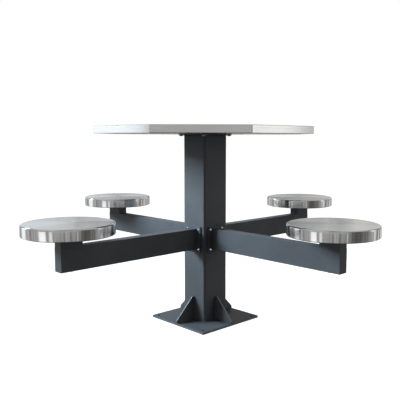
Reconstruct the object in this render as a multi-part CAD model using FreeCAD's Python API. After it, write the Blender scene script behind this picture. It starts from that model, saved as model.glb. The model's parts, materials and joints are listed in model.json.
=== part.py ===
import FreeCAD, Part
import math
import os

from FreeCAD import Placement, Rotation, Vector

# A fixed dining table: an octagonal stainless top on a square steel column,
# with four arms that each carry a round seat on a spindle that turns freely.
# Millimetres, +Z up, origin on the floor below the column's axis.
# The arms point along +X (east), +Y (north), -X (west) and -Y (south).

# Tabletop
table_height = 760.0
top_across_flats = 795.0
top_depth = 28.0
top_sheet = 1.5
top_lip = 18.0
top_corner_radius = 4.0
top_bend_radius = 2.5
backing_thickness = 1.5
core_edge_gap = 0.5

# Column and its head plate
column_side = 120.0
column_wall = 5.0
column_radius = 7.5
head_plate_thickness = 5.0
head_plate_overhang = 16.0
head_plate_corner = 8.0
head_bolt_edge = 10.0

# Base plate and gussets
base_side = 300.0
base_thickness = 8.0
base_corner = 2.0
anchor_hole_diameter = 12.0
anchor_hole_edge = 20.0
gusset_thickness = 5.0
gusset_height = 90.0
gusset_toe = 10.0
gusset_land = 10.0
gusset_setback = 0.5
edge_break = 0.8

# Arms
arm_width = 40.0
arm_height = 80.0
arm_wall = 2.5
arm_radius = 2.0
arm_flange_thickness = 5.0
arm_flange_margin = 10.5
arm_flange_overlap = 10.0
arm_flange_corner = 3.0
arm_bolt_edge = 11.5
end_cap_thickness = 3.0

# Risers and swivels
seat_reach = 601.0
riser_length = 80.0
riser_height = 30.5
riser_wall = 3.0
riser_lid = 4.0
sleeve_wall = 2.5
sleeve_side_gap = 1.5
sleeve_stand = 28.0
bush_wall = 1.5
bush_length = 20.0
bush_flange = 2.0
spindle_flange_diameter = 110.0
spindle_flange_thickness = 6.0
spindle_tail = 4.0
spindle_chamfer = 1.0
ring_thickness = 1.5
ring_groove_depth = 1.5
ring_mouth = 10.0
plug_lip = 1.2
plug_head = 1.0
plug_stem = 6.0

# Seats
seat_height = 446.0
seat_diameter = 300.0
seat_thickness = 40.0
seat_sheet = 1.5
seat_crown = 1.5
seat_top_radius = 7.0
seat_bottom_radius = 3.0
seat_lip = 16.0
seat_screw_circle = 80.0

# Fasteners
arm_bolt_diameter = 6.0
arm_bolt_length = 16.0
arm_bolt_head_diameter = 10.5
arm_bolt_head_height = 3.3
arm_bolt_head_rim = 1.0
arm_bolt_socket = 4.0
arm_bolt_socket_depth = 2.0
arm_nut_across = 10.0
arm_nut_height = 5.0
top_bolt_diameter = 6.0
top_bolt_length = 20.0
top_bolt_across = 10.0
top_bolt_head = 4.0
washer_diameter = 12.0
washer_thickness = 1.6
insert_wall = 2.0
insert_length = 14.0
screw_diameter = 6.0
screw_head_diameter = 12.0
screw_length = 25.0

# Clearances, on the radius or on one face
bolt_clearance = 0.5
thread_clearance = 0.1
press_gap = 0.02
running_clearance = 0.05
axial_play = 0.3
weld_gap = 0.2
glue_gap = 0.3
access_clearance = 0.5

# Heights that follow, from the tabletop down
core_top = table_height - top_sheet
top_underside = table_height - top_depth
head_plate_top = top_underside + top_sheet + glue_gap
core_bottom = head_plate_top + backing_thickness
column_top = head_plate_top - head_plate_thickness

# Heights that follow, from the seat down
seat_underside = seat_height - seat_thickness
bush_top = seat_underside - spindle_flange_thickness
riser_top = bush_top - bush_flange
arm_top = riser_top - riser_height
arm_bottom = arm_top - arm_height
arm_centre = arm_top - arm_height / 2
sleeve_bottom = arm_bottom + sleeve_stand
ring_top = sleeve_bottom - bush_flange - axial_play
ring_bottom = ring_top - ring_thickness
spindle_end = ring_bottom - spindle_tail

# Plan sizes that follow
board_across = top_across_flats - 2 * top_sheet - 2 * core_edge_gap
column_half = column_side / 2
column_bore = column_half - column_wall
column_inner_radius = max(column_radius - column_wall, edge_break)
head_plate_side = column_side + 2 * head_plate_overhang
head_bolt_offset = head_plate_side / 2 - head_bolt_edge
anchor_offset = base_side / 2 - anchor_hole_edge
arm_start = column_half + arm_flange_thickness
arm_end = seat_reach + riser_length / 2
arm_flange_width = column_side - 2 * column_radius - 2 * arm_flange_margin
arm_flange_height = arm_height + 2 * arm_flange_overlap
arm_bolt_y = (arm_width + arm_flange_width) / 4
arm_bolt_z = arm_flange_height / 2 - arm_bolt_edge
seat_radius = seat_diameter / 2
seat_opening = seat_radius - seat_lip

# The swivel's fits, from the arm's inner width inwards
sleeve_radius = arm_width / 2 - arm_wall - sleeve_side_gap
sleeve_bore = sleeve_radius - sleeve_wall
bush_radius = sleeve_bore - press_gap
bush_bore = sleeve_bore - bush_wall
spindle_radius = bush_bore - running_clearance
groove_radius = spindle_radius - ring_groove_depth
access_radius = sleeve_radius + access_clearance

# Holes for the fasteners
arm_bolt_radius = arm_bolt_diameter / 2
arm_hole_radius = arm_bolt_radius + bolt_clearance
top_bolt_radius = top_bolt_diameter / 2
top_hole_radius = top_bolt_radius + bolt_clearance
insert_bore = top_bolt_radius + thread_clearance
insert_radius = insert_bore + insert_wall
screw_radius = screw_diameter / 2

origin = Vector(0, 0, 0)
along_x = Vector(1, 0, 0)
along_y = Vector(0, 1, 0)
along_z = Vector(0, 0, 1)
sides = {"east": 0, "north": 90, "west": 180, "south": 270}
cut_past = 1.0
same_level = 0.001


# Forms used by several pieces

def turned(shape, angle):
    copy = shape.copy()
    copy.rotate(origin, along_z, angle)
    return copy


def placed(shape, place, direction):
    copy = shape.copy()
    copy.Placement = Placement(place, Rotation(along_z, direction))
    return copy


def at_seat(shape):
    return shape.translated(Vector(seat_reach, 0, 0))


def disc(radius, low, high, x=0.0, y=0.0):
    return Part.makeCylinder(radius, high - low, Vector(x, y, low))


def ring(outer, inner, low, high):
    return disc(outer, low, high).cut(disc(inner, low - cut_past, high + cut_past))


def edges_along(shape, along):
    return [edge for edge in shape.Edges if abs(edge.tangentAt(0).dot(along)) > 1 - same_level]


def rounded_box(low, high, along, radius):
    size = high - low
    block = Part.makeBox(size.x, size.y, size.z, low)
    return block.makeFillet(radius, edges_along(block, along))


def square_bar(side, low, high, corner):
    half = side / 2
    return rounded_box(Vector(-half, -half, low), Vector(half, half, high), along_z, corner)


def prism(corners, across_flats, low, high):
    reach = across_flats / 2 / math.cos(math.pi / corners)
    points = []
    for number in range(corners + 1):
        angle = 2 * math.pi * (number + 0.5) / corners
        points.append(Vector(reach * math.cos(angle), reach * math.sin(angle), low))
    return Part.Face(Part.makePolygon(points)).extrude(Vector(0, 0, high - low))


def revolved(profile):
    points = [Vector(radius, 0, height) for radius, height in profile]
    face = Part.Face(Part.makePolygon(points + points[:1]))
    return face.revolve(origin, along_z, 360)


def edges_at(shape, along, level):
    found = []
    for edge in shape.Edges:
        middle = edge.valueAt((edge.FirstParameter + edge.LastParameter) / 2)
        points = [vertex.Point for vertex in edge.Vertexes] + [middle]
        if all(abs(point.dot(along) - level) < same_level for point in points):
            found.append(edge)
    return found


def four_corners(offset):
    return [(x * offset, y * offset) for x in (-1, 1) for y in (-1, 1)]


# Fasteners, with the seating face at the origin and the head or nut above it

def arm_bolt():
    head_radius = arm_bolt_head_diameter / 2
    top = arm_bolt_head_height
    slope = top - arm_bolt_head_rim
    head = [(head_radius, 0), (head_radius, arm_bolt_head_rim), (head_radius - slope, top), (0, top)]
    shank = [(0, -arm_bolt_length), (arm_bolt_radius, -arm_bolt_length), (arm_bolt_radius, 0)]
    socket = prism(6, arm_bolt_socket, top - arm_bolt_socket_depth, top + cut_past)
    return revolved(shank + head).cut(socket)


def weld_nut():
    blank = prism(6, arm_nut_across, 0, arm_nut_height)
    return blank.cut(disc(arm_bolt_radius + thread_clearance, -cut_past, arm_nut_height + cut_past))


def top_bolt():
    head = prism(6, top_bolt_across, 0, top_bolt_head)
    return head.fuse(disc(top_bolt_radius, -top_bolt_length, 0)).removeSplitter()


def top_washer():
    return ring(washer_diameter / 2, top_hole_radius, 0, washer_thickness)


def countersunk_screw(clearance):
    head = screw_head_diameter / 2 + clearance
    shank = screw_radius + clearance
    head_depth = head - shank
    profile = [(0, 0), (head, 0), (shank, head_depth), (shank, screw_length), (0, screw_length)]
    return revolved(profile)


# Pedestal

def base_plate():
    plate = square_bar(base_side, 0, base_thickness, base_corner)
    plate = plate.makeFillet(edge_break, edges_at(plate, along_z, base_thickness))
    radius = anchor_hole_diameter / 2
    high = base_thickness + cut_past
    return plate.cut([disc(radius, -cut_past, high, x, y) for x, y in four_corners(anchor_offset)])


def column():
    outer = square_bar(column_side, base_thickness, column_top, column_radius)
    low = base_thickness - cut_past
    high = column_top + cut_past
    bore = square_bar(2 * column_bore, low, high, column_inner_radius)
    holes = []
    for angle in sides.values():
        holes += [turned(hole, angle) for hole in arm_bolt_holes()]
    return outer.cut([bore] + holes)


def gusset():
    outer = base_side / 2 - gusset_setback
    top = base_thickness + gusset_height
    points = [
        Vector(column_half, 0, base_thickness),
        Vector(outer, 0, base_thickness),
        Vector(outer, 0, base_thickness + gusset_toe),
        Vector(column_half + gusset_land, 0, top),
        Vector(column_half, 0, top),
    ]
    face = Part.Face(Part.makePolygon(points + points[:1]))
    plate = face.extrude(Vector(0, gusset_thickness, 0)).translated(Vector(0, -gusset_thickness / 2, 0))
    rims = edges_at(plate, along_y, gusset_thickness / 2) + edges_at(plate, along_y, -gusset_thickness / 2)
    free = [edge for edge in rims if edge.CenterOfMass.z > base_thickness + same_level]
    free = [edge for edge in free if edge.CenterOfMass.x > column_half + same_level]
    return plate.makeFillet(edge_break, free)


def head_plate():
    plate = square_bar(head_plate_side, column_top, head_plate_top, head_plate_corner)
    low = column_top - cut_past
    high = head_plate_top + cut_past
    return plate.cut([disc(top_hole_radius, low, high, x, y) for x, y in four_corners(head_bolt_offset)])


# Tabletop

def octagon_board(across_flats, low, high, corner):
    block = prism(8, across_flats, low, high)
    return block.makeFillet(corner, edges_along(block, along_z))


def folded_octagon(across_flats, low, high, corner, bend):
    block = octagon_board(across_flats, low, high, corner)
    return block.makeFillet(bend, edges_at(block, along_z, low) + edges_at(block, along_z, high))


def tabletop_skin():
    outer = folded_octagon(
        top_across_flats,
        top_underside,
        table_height,
        top_corner_radius,
        top_bend_radius,
    )
    room = folded_octagon(
        top_across_flats - 2 * top_sheet,
        top_underside + top_sheet,
        core_top,
        top_corner_radius - top_sheet,
        top_bend_radius - top_sheet,
    )
    opening = octagon_board(
        top_across_flats - 2 * top_lip,
        top_underside - cut_past,
        top_underside + top_sheet + cut_past,
        top_corner_radius - top_sheet,
    )
    return outer.cut([room, opening])


def tabletop_core():
    board = octagon_board(board_across, core_bottom, core_top, top_corner_radius)
    board = board.makeFillet(top_bend_radius - top_sheet, edges_at(board, along_z, core_top))
    insert_low = core_bottom - cut_past
    insert_high = core_bottom + insert_length
    drill_high = core_top + cut_past
    holes = []
    for x, y in four_corners(head_bolt_offset):
        holes.append(disc(insert_radius + press_gap, insert_low, insert_high, x, y))
        holes.append(disc(top_hole_radius, core_bottom, drill_high, x, y))
    return board.cut(holes)


def tabletop_backing():
    sheet = octagon_board(board_across, head_plate_top, core_bottom, top_corner_radius)
    low = head_plate_top - cut_past
    high = core_bottom + cut_past
    return sheet.cut([disc(top_hole_radius, low, high, x, y) for x, y in four_corners(head_bolt_offset)])


def tabletop_inserts():
    insert = ring(insert_radius, insert_bore, core_bottom, core_bottom + insert_length)
    return [insert.translated(Vector(x, y, 0)) for x, y in four_corners(head_bolt_offset)]


def below_head_plate(shape, drop):
    places = [Vector(x, y, column_top - drop) for x, y in four_corners(head_bolt_offset)]
    return [placed(shape, place, -along_z) for place in places]


# Arms, modelled on the east side

def arm_bolt_places(x):
    return [Vector(x, y * arm_bolt_y, arm_centre + z * arm_bolt_z) for y in (-1, 1) for z in (-1, 1)]


def arm_bolt_holes():
    length = column_wall + arm_flange_thickness + 2 * cut_past
    start = column_bore - cut_past
    return [Part.makeCylinder(arm_hole_radius, length, place, along_x) for place in arm_bolt_places(start)]


def arm_section(start, end):
    half = arm_width / 2
    return rounded_box(Vector(start, -half, arm_bottom), Vector(end, half, arm_top), along_x, arm_radius)


def arm_flange():
    half = arm_flange_width / 2
    low = Vector(column_half, -half, arm_centre - arm_flange_height / 2)
    high = Vector(arm_start, half, arm_centre + arm_flange_height / 2)
    plate = rounded_box(low, high, along_x, arm_flange_corner)
    plate = plate.makeFillet(edge_break, edges_at(plate, along_x, arm_start))
    return plate.cut(arm_bolt_holes())


def arm_tube():
    end = arm_end - end_cap_thickness
    inner_half = arm_width / 2 - arm_wall
    length = end - arm_start + 2 * cut_past
    corner = Vector(arm_start - cut_past, -inner_half, arm_bottom + arm_wall)
    room = Part.makeBox(length, 2 * inner_half, arm_height - 2 * arm_wall, corner)
    sleeve_hole = at_seat(disc(sleeve_radius + weld_gap, arm_centre, arm_top + cut_past))
    access_hole = at_seat(disc(access_radius, arm_bottom - cut_past, arm_centre))
    return arm_section(arm_start, end).cut([room, sleeve_hole, access_hole])


def arm_end_cap():
    return arm_section(arm_end - end_cap_thickness, arm_end)


def seat_riser():
    half = arm_width / 2
    start = arm_end - riser_length
    low = Vector(start, -half, arm_top)
    high = Vector(arm_end, half, riser_top)
    block = rounded_box(low, high, along_z, arm_radius)
    block = block.makeFillet(edge_break, edges_at(block, along_z, riser_top))
    corner = Vector(start + riser_wall, riser_wall - half, arm_top - cut_past)
    height = riser_height - riser_lid + cut_past
    room = Part.makeBox(riser_length - 2 * riser_wall, arm_width - 2 * riser_wall, height, corner)
    sleeve_hole = at_seat(disc(sleeve_radius + weld_gap, arm_top, riser_top + cut_past))
    return block.cut([room, sleeve_hole])


# Swivel, modelled on its own axis

def pivot_sleeve():
    return ring(sleeve_radius, sleeve_bore, sleeve_bottom, riser_top)


def bush(seat, way):
    flange = seat + way * bush_flange
    end = seat - way * bush_length
    profile = [
        (bush_bore, end),
        (bush_radius, end),
        (bush_radius, seat),
        (sleeve_radius, seat),
        (sleeve_radius, flange),
        (bush_bore, flange),
    ]
    return revolved(profile)


def access_plug():
    stem = access_radius - thread_clearance
    lip = access_radius + plug_lip
    low = arm_bottom - plug_head
    profile = [
        (0, low),
        (lip - plug_lip, low),
        (lip, arm_bottom - plug_head / 2),
        (lip, arm_bottom),
        (stem, arm_bottom),
        (stem, arm_bottom + plug_stem),
        (0, arm_bottom + plug_stem),
    ]
    return revolved(profile)


def spindle():
    flange = spindle_flange_diameter / 2
    profile = [
        (0, spindle_end),
        (spindle_radius - spindle_chamfer, spindle_end),
        (spindle_radius, spindle_end + spindle_chamfer),
        (spindle_radius, ring_bottom - press_gap),
        (groove_radius, ring_bottom - press_gap),
        (groove_radius, ring_top + press_gap),
        (spindle_radius, ring_top + press_gap),
        (spindle_radius, bush_top),
        (flange, bush_top),
        (flange, seat_underside),
        (0, seat_underside),
    ]
    body = revolved(profile)
    return body.cut(seat_screws(bolt_clearance))


def spindle_ring():
    body = ring(sleeve_radius, groove_radius + press_gap, ring_bottom, ring_top)
    corner = Vector(0, -ring_mouth / 2, ring_bottom - cut_past)
    mouth = Part.makeBox(sleeve_radius + cut_past, ring_mouth, ring_thickness + 2 * cut_past, corner)
    return body.cut(mouth)


# Seat, modelled on its own axis

def crowned_disc(radius, low, high, top_radius, bottom_radius):
    rim = high - seat_crown
    dome = (radius ** 2 + seat_crown ** 2) / (2 * seat_crown)
    halfway = Vector(radius / 2, 0, high - dome + math.sqrt(dome ** 2 - radius ** 2 / 4))
    centre_low = Vector(0, 0, low)
    edge_low = Vector(radius, 0, low)
    edge_high = Vector(radius, 0, rim)
    centre_high = Vector(0, 0, high)
    outline = [
        Part.makeLine(centre_low, edge_low),
        Part.makeLine(edge_low, edge_high),
        Part.Arc(edge_high, halfway, centre_high).toShape(),
        Part.makeLine(centre_high, centre_low),
    ]
    body = Part.Face(Part.Wire(outline)).revolve(origin, along_z, 360)
    body = body.makeFillet(top_radius, edges_at(body, along_z, rim))
    return body.makeFillet(bottom_radius, edges_at(body, along_z, low))


def seat_pan():
    outer = crowned_disc(seat_radius, seat_underside, seat_height, seat_top_radius, seat_bottom_radius)
    room = crowned_disc(
        seat_radius - seat_sheet,
        seat_underside + seat_sheet,
        seat_height - seat_sheet,
        seat_top_radius - seat_sheet,
        seat_bottom_radius - seat_sheet,
    )
    opening = disc(seat_opening, seat_underside - cut_past, seat_underside + seat_sheet + cut_past)
    return outer.cut([room, opening])


def seat_screws(clearance):
    screw = countersunk_screw(clearance)
    places = four_corners(seat_screw_circle / 2 / math.sqrt(2))
    return [screw.translated(Vector(x, y, bush_top)) for x, y in places]


def seat_core():
    board = crowned_disc(
        seat_radius - seat_sheet - glue_gap,
        seat_underside + seat_sheet,
        seat_height - seat_sheet - glue_gap,
        seat_top_radius - seat_sheet,
        seat_bottom_radius - seat_sheet,
    )
    return board.cut(seat_screws(thread_clearance))


def seat_base():
    sheet = disc(seat_opening - core_edge_gap, seat_underside, seat_underside + seat_sheet)
    return sheet.cut(seat_screws(bolt_clearance))


# Every piece is written to a file of its own name

def export(name, solids):
    shape = solids[0] if len(solids) == 1 else Part.makeCompound(solids)
    shape.exportStep("parts/" + name + ".step")
    print(name, len(shape.Solids), round(shape.Volume), shape.isValid())


def on_each_side(solids):
    return [turned(solid, angle) for angle in sides.values() for solid in solids]


def at_arm_bolts(shape, x, direction):
    return on_each_side([placed(shape, place, direction) for place in arm_bolt_places(x)])


os.makedirs("parts", exist_ok=True)

export("base_plate", [base_plate()])
export("column", [column()])
export("head_plate", [head_plate()])
export("tabletop_skin", [tabletop_skin()])
export("tabletop_core", [tabletop_core()])
export("tabletop_backing", [tabletop_backing()])
export("tabletop_inserts", tabletop_inserts())
export("tabletop_washers", below_head_plate(top_washer(), 0))
export("tabletop_bolts", below_head_plate(top_bolt(), washer_thickness))

export("arm_bolts", at_arm_bolts(arm_bolt(), arm_start, along_x))
export("weld_nuts", at_arm_bolts(weld_nut(), column_bore, -along_x))
export("arm_end_caps", on_each_side([arm_end_cap()]))
export("upper_bushes", on_each_side([at_seat(bush(riser_top, 1))]))
export("lower_bushes", on_each_side([at_seat(bush(sleeve_bottom, -1))]))
export("access_plugs", on_each_side([at_seat(access_plug())]))

fixed_pieces = {
    "gusset": [gusset()],
    "arm_flange": [arm_flange()],
    "arm_tube": [arm_tube()],
    "seat_riser": [seat_riser()],
    "pivot_sleeve": [at_seat(pivot_sleeve())],
}
turning_pieces = {
    "seat_pan": [at_seat(seat_pan())],
    "seat_core": [at_seat(seat_core())],
    "seat_base": [at_seat(seat_base())],
    "spindle": [at_seat(spindle())],
    "spindle_ring": [at_seat(spindle_ring())],
    "spindle_screws": [at_seat(screw) for screw in seat_screws(0)],
}
for side, angle in sides.items():
    for piece, solids in {**fixed_pieces, **turning_pieces}.items():
        export(piece + "_" + side, [turned(solid, angle) for solid in solids])
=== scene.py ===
import json
from math import atan2, cos, hypot, pi, radians, sin, sqrt

import bmesh
import bpy
from mathutils import Matrix, Vector


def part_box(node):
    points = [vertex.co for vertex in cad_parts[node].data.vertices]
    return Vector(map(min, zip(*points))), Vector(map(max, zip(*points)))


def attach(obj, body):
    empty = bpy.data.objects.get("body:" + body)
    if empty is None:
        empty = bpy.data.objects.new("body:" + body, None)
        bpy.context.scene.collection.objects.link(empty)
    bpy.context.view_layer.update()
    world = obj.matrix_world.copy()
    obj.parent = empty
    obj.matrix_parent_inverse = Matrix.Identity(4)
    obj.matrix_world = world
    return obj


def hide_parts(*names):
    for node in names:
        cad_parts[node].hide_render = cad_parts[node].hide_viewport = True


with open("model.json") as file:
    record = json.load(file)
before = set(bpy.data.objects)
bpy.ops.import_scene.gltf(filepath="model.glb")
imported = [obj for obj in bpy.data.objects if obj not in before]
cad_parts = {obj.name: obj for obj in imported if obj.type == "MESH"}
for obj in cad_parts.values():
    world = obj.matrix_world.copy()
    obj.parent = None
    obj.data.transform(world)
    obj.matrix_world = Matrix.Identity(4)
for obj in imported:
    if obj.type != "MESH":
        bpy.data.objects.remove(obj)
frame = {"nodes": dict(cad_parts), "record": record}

scene = bpy.context.scene
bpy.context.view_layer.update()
mm = 0.001
fullTurn = 2 * pi
sides = ("east", "north", "west", "south")
outward = {"east": Vector((1, 0, 0)), "north": Vector((0, 1, 0)),
           "west": Vector((-1, 0, 0)), "south": Vector((0, -1, 0))}


# node tree helpers
socketKinds = {"number": "NodeSocketFloat", "count": "NodeSocketInt", "vector": "NodeSocketVector",
               "colour": "NodeSocketColor", "geometry": "NodeSocketGeometry",
               "material": "NodeSocketMaterial"}
noiseLow, noiseHigh = 0.3, 0.7  # nearly all of a noise pattern lies between these


def place(tree, kind, inputs=None, **options):  # adds a node, sets its options, fills or links its inputs
    node = tree.nodes.new(kind)
    for option, value in options.items():
        setattr(node, option, value)
    for key, value in (inputs or {}).items():
        feed(tree, node.inputs[key], value)
    return node


def feed(tree, socket, value):
    if isinstance(value, bpy.types.NodeSocket):
        tree.links.new(value, socket)
    else:
        socket.default_value = value


def calc(tree, operation, *values):  # one Math node, returns its result
    node = tree.nodes.new("ShaderNodeMath")
    node.operation = operation
    for socket, value in zip(node.inputs, values):
        feed(tree, socket, value)
    return node.outputs[0]


def weigh(tree, first, firstShare, second, secondShare):
    return calc(tree, "MULTIPLY_ADD", first, firstShare, calc(tree, "MULTIPLY", second, secondShare))


def startGroup(name, kind, inputs, outputs):  # inputs and outputs are (label, kind of socket, first value)
    tree = bpy.data.node_groups.new(name, kind)
    for direction, sockets in (("INPUT", inputs), ("OUTPUT", outputs)):
        for label, socketKind, first in sockets:
            socketType = socketKinds[socketKind]
            socket = tree.interface.new_socket(name=label, in_out=direction, socket_type=socketType)
            if first is not None:
                socket.default_value = first
    return tree, tree.nodes.new("NodeGroupInput").outputs, tree.nodes.new("NodeGroupOutput").inputs


def vectorOf(tree, x=0.0, y=0.0, z=0.0):
    return place(tree, "ShaderNodeCombineXYZ", {0: x, 1: y, 2: z}).outputs[0]


def axesOf(tree, vector):
    return place(tree, "ShaderNodeSeparateXYZ", {0: vector}).outputs


def scaled(tree, vector, size):
    return place(tree, "ShaderNodeVectorMath", {0: vector, "Scale": size}, operation="SCALE").outputs[0]


def stretch(tree, vector, scale):  # pulls a pattern out along an axis
    return place(tree, "ShaderNodeMapping", {"Vector": vector, "Scale": scale}).outputs[0]


def mixColour(tree, factor, first, second):
    mix = place(tree, "ShaderNodeMix", {0: factor, 6: first, 7: second}, data_type="RGBA")
    return mix.outputs[2]


def noise(tree, vector, scale, detail=2.0, roughness=0.5):
    inputs = {"Vector": vector, "Scale": scale, "Detail": detail, "Roughness": roughness}
    return place(tree, "ShaderNodeTexNoise", inputs).outputs["Fac"]


def span(tree, value, fromLow, fromHigh, toLow, toHigh):
    inputs = {"Value": value, "From Min": fromLow, "From Max": fromHigh, "To Min": toLow, "To Max": toHigh}
    return place(tree, "ShaderNodeMapRange", inputs).outputs["Result"]


def spread(tree, pattern, low, high):  # brings a noise pattern to a range
    return span(tree, pattern, noiseLow, noiseHigh, low, high)


# shared surface effects
def makeSoftMarks():  # broad uneven patches, as left by hands and cleaning cloths
    inputs = (("Vector", "vector", None), ("Patch Size", "number", 0.12))
    tree, given, result = startGroup("softMarks", "ShaderNodeTree", inputs, (("Mask", "number", None),))
    scale = calc(tree, "DIVIDE", 1.0, given["Patch Size"])
    broad = noise(tree, given["Vector"], scale, detail=3.0, roughness=0.55)
    feed(tree, result["Mask"], spread(tree, broad, 0.0, 1.0))
    return tree


# wideScale is the scale of the wide scratches, as a share of the fine ones' scale
brush = {"fineShare": 0.6, "wideShare": 0.4, "wideScale": 0.12, "darkest": 0.35, "palest": 0.65}


def makeBrushGrain():  # fine parallel scratches, x along the grain and y across it, in metres
    inputs = (("Vector", "vector", None), ("Scratch Length", "number", 50 * mm),
              ("Scratch Width", "number", 0.6 * mm))
    outputs = (("Streak", "number", None), ("Height", "number", None))
    tree, given, result = startGroup("brushGrain", "ShaderNodeTree", inputs, outputs)
    along = calc(tree, "DIVIDE", 1.0, given["Scratch Length"])
    across = calc(tree, "DIVIDE", 1.0, given["Scratch Width"])
    fineScale = vectorOf(tree, along, across, across)
    wideScale = scaled(tree, fineScale, brush["wideScale"])
    fine = noise(tree, stretch(tree, given["Vector"], fineScale), 1.0, detail=3.0, roughness=0.6)
    wide = noise(tree, stretch(tree, given["Vector"], wideScale), 1.0)
    both = weigh(tree, fine, brush["fineShare"], wide, brush["wideShare"])
    feed(tree, result["Streak"], span(tree, both, brush["darkest"], brush["palest"], 0.0, 1.0))
    feed(tree, result["Height"], fine)
    return tree


paint = {"specksPerBump": 3.5, "speckHeight": 0.35, "speckRange": (0.4, 0.6), "speckTone": (-0.1, 0.2),
         "patchesPerMetre": 7.0, "patchTone": (0.1, 0.7), "darkest": 0.82, "palest": 1.2,
         "roughness": (0.42, 0.52)}


def makeCoatGrain():  # the small bumps of baked powder paint, with a little unevenness of tone
    inputs = (("Vector", "vector", None), ("Colour", "colour", None), ("Bump Size", "number", 1.2 * mm))
    outputs = (("Colour", "colour", None), ("Roughness", "number", None), ("Height", "number", None))
    tree, given, result = startGroup("coatGrain", "ShaderNodeTree", inputs, outputs)
    bumps = noise(tree, given["Vector"], calc(tree, "DIVIDE", 1.0, given["Bump Size"]))
    speckScale = calc(tree, "DIVIDE", paint["specksPerBump"], given["Bump Size"])
    specks = noise(tree, given["Vector"], speckScale, detail=1.0)
    patches = noise(tree, given["Vector"], paint["patchesPerMetre"], detail=4.0, roughness=0.6)
    dark = scaled(tree, given["Colour"], paint["darkest"])
    pale = scaled(tree, given["Colour"], paint["palest"])
    speckTone = span(tree, specks, *paint["speckRange"], *paint["speckTone"])
    tone = calc(tree, "ADD", spread(tree, patches, *paint["patchTone"]), speckTone)
    feed(tree, result["Colour"], mixColour(tree, tone, dark, pale))
    feed(tree, result["Roughness"], spread(tree, patches, *paint["roughness"]))
    feed(tree, result["Height"], calc(tree, "MULTIPLY_ADD", specks, paint["speckHeight"], bumps))
    return tree


softMarks = makeSoftMarks()
brushGrain = makeBrushGrain()
coatGrain = makeCoatGrain()


# material helpers
def startMaterial(name, **sockets):  # sockets are set on the shader itself, with _ for a blank
    material = bpy.data.materials.new(name)
    material.use_nodes = True
    tree = material.node_tree
    shader = tree.nodes["Principled BSDF"]
    for label, value in sockets.items():
        shader.inputs[label.replace("_", " ")].default_value = value
    return material, tree, shader


def useGroup(tree, group, **inputs):
    node = place(tree, "ShaderNodeGroup", node_tree=group)
    for label, value in inputs.items():
        feed(tree, node.inputs[label.replace("_", " ")], value)
    return node.outputs


def objectPlace(tree):
    return place(tree, "ShaderNodeTexCoord").outputs["Object"]


def grainPlace(tree):
    return place(tree, "ShaderNodeUVMap", uv_map="grain").outputs[0]


def marksOf(tree, patchSize):
    return useGroup(tree, softMarks, Vector=objectPlace(tree), Patch_Size=patchSize)["Mask"]


def coverWith(tree, shader, colour, roughness):
    feed(tree, shader.inputs["Base Color"], colour)
    feed(tree, shader.inputs["Roughness"], roughness)


def bumpFrom(tree, shader, height, strength, depth):
    bump = place(tree, "ShaderNodeBump", {"Height": height, "Strength": strength, "Distance": depth})
    tree.links.new(bump.outputs[0], shader.inputs["Normal"])


# dark powder paint on the whole steel frame, thin and pale on the cut edges of plates, the paleness being
# also a painted highlight that these edges catch
coat = {"colour": (0.086, 0.093, 0.101, 1), "gloss": 0.13, "bumpSize": 1.3 * mm, "bumpDepth": 0.05 * mm,
        "bumpStrength": 0.5, "paleEdgeAndHighlight": (0.29, 0.295, 0.3, 1), "edgePatch": 25 * mm, "leastEdgeShare": 0.7}
# an edge's faces are known by the upward part of their facing, as its middle and half range
plateEdge = {"upward": (0.0, 0.5), "wearAndHighlight": 0.35}
gussetEdge = {"upward": (0.6, 0.35), "wearAndHighlight": 1.0}


def makePowderCoat(name, edge=None):
    material, tree, shader = startMaterial(name, Metallic=0.0, Specular_IOR_Level=coat["gloss"])
    inputs = {"Vector": objectPlace(tree), "Colour": coat["colour"], "Bump_Size": coat["bumpSize"]}
    grain = useGroup(tree, coatGrain, **inputs)
    colour = grain["Colour"]
    # pale cut edges: thin paint and a painted highlight, on faces picked by their facing
    if edge:
        facing = place(tree, "ShaderNodeNewGeometry").outputs["True Normal"]
        onEdge = calc(tree, "COMPARE", axesOf(tree, facing)[2], *edge["upward"])
        marks = marksOf(tree, coat["edgePatch"])
        wearAndHighlight = span(tree, marks, 0.0, 1.0, coat["leastEdgeShare"] * edge["wearAndHighlight"], edge["wearAndHighlight"])
        colour = mixColour(tree, calc(tree, "MULTIPLY", onEdge, wearAndHighlight), colour, coat["paleEdgeAndHighlight"])
    coverWith(tree, shader, colour, grain["Roughness"])
    bumpFrom(tree, shader, grain["Height"], coat["bumpStrength"], coat["bumpDepth"])
    return material


# spun stainless of the seats, grained in rings about the seat's own axis
# ringLap is the distance from the axis at which a scratch is ringLength long
grainTurn = 0.25  # a quarter turn lays the long highlights across the grain
spun = {"dark": (0.635, 0.638, 0.64, 1), "pale": (0.7, 0.704, 0.708, 1), "anisotropy": 1.0,
        "roughness": 0.15, "unevenness": 0.03, "ringWidth": 0.9 * mm, "ringLength": 90 * mm, "ringLap": 0.3,
        "ringTone": 0.8, "rippleCount": 40, "rippleDepth": 0.03 * mm, "rippleStrength": 0.6,
        "patch": 70 * mm, "patchTone": 0.2, "patchRoughness": 0.02}


def lapNoise(tree, turn, radius, along, detail):  # a noise laid round an axis, so that its ends meet
    x = calc(tree, "MULTIPLY", calc(tree, "COSINE", turn), radius)
    y = calc(tree, "MULTIPLY", calc(tree, "SINE", turn), radius)
    return noise(tree, vectorOf(tree, x, y, along), 1.0, detail=detail, roughness=0.6)


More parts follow.
